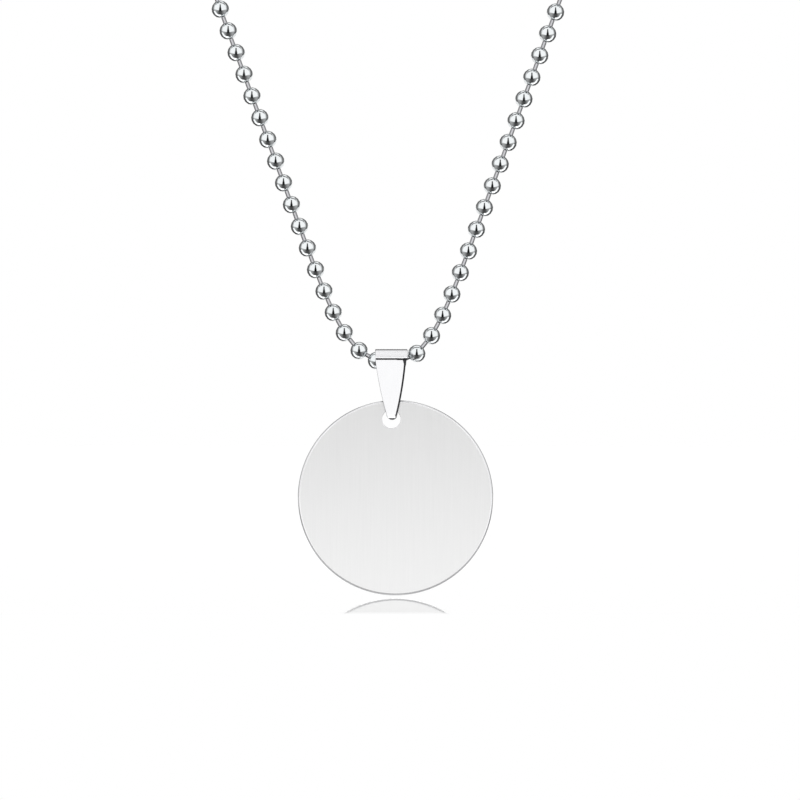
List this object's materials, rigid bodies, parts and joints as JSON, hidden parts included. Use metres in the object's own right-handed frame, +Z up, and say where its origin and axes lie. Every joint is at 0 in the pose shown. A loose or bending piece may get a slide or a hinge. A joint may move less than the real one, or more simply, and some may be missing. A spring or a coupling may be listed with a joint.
{
  "type": "round tag necklace",
  "caption": "Plain round steel tag hung by a folded bail on a ball chain, closed at the nape by a plain coupling.",
  "frame": {"origin": "the nape: the middle of the coupling that closes the chain behind the neck", "axes": "+Z up as worn, -Y out from the wearer's chest towards a viewer, +X to the viewer's right"},
  "size_m": [0.113, 0.1138, 0.2345],
  "materials": {
    "chain_steel": "polished stainless steel",
    "bail_steel": "polished stainless steel sheet",
    "tag_steel": "satin face with fine upright grain and a polished rim"
  },
  "bodies": {
    "chain": {"chain_right": "chain_steel", "chain_left": "chain_steel", "coupling": "chain_steel"},
    "bail": {"bail": "bail_steel"},
    "tag": {"tag": "tag_steel"}
  },
  "joints": [
    {"name": "bail_swing", "type": "hinge", "parent": "chain", "child": "bail", "pos_m": [0.0005, -0.11, -0.19887], "axis": [1, 0, 0], "range_deg": [-90, 90]},
    {"name": "tag_swing", "type": "hinge", "parent": "bail", "child": "tag", "pos_m": [0.0005, -0.11, -0.20734], "axis": [0, -1, 0], "range_deg": [-63, 57]}
  ]
}
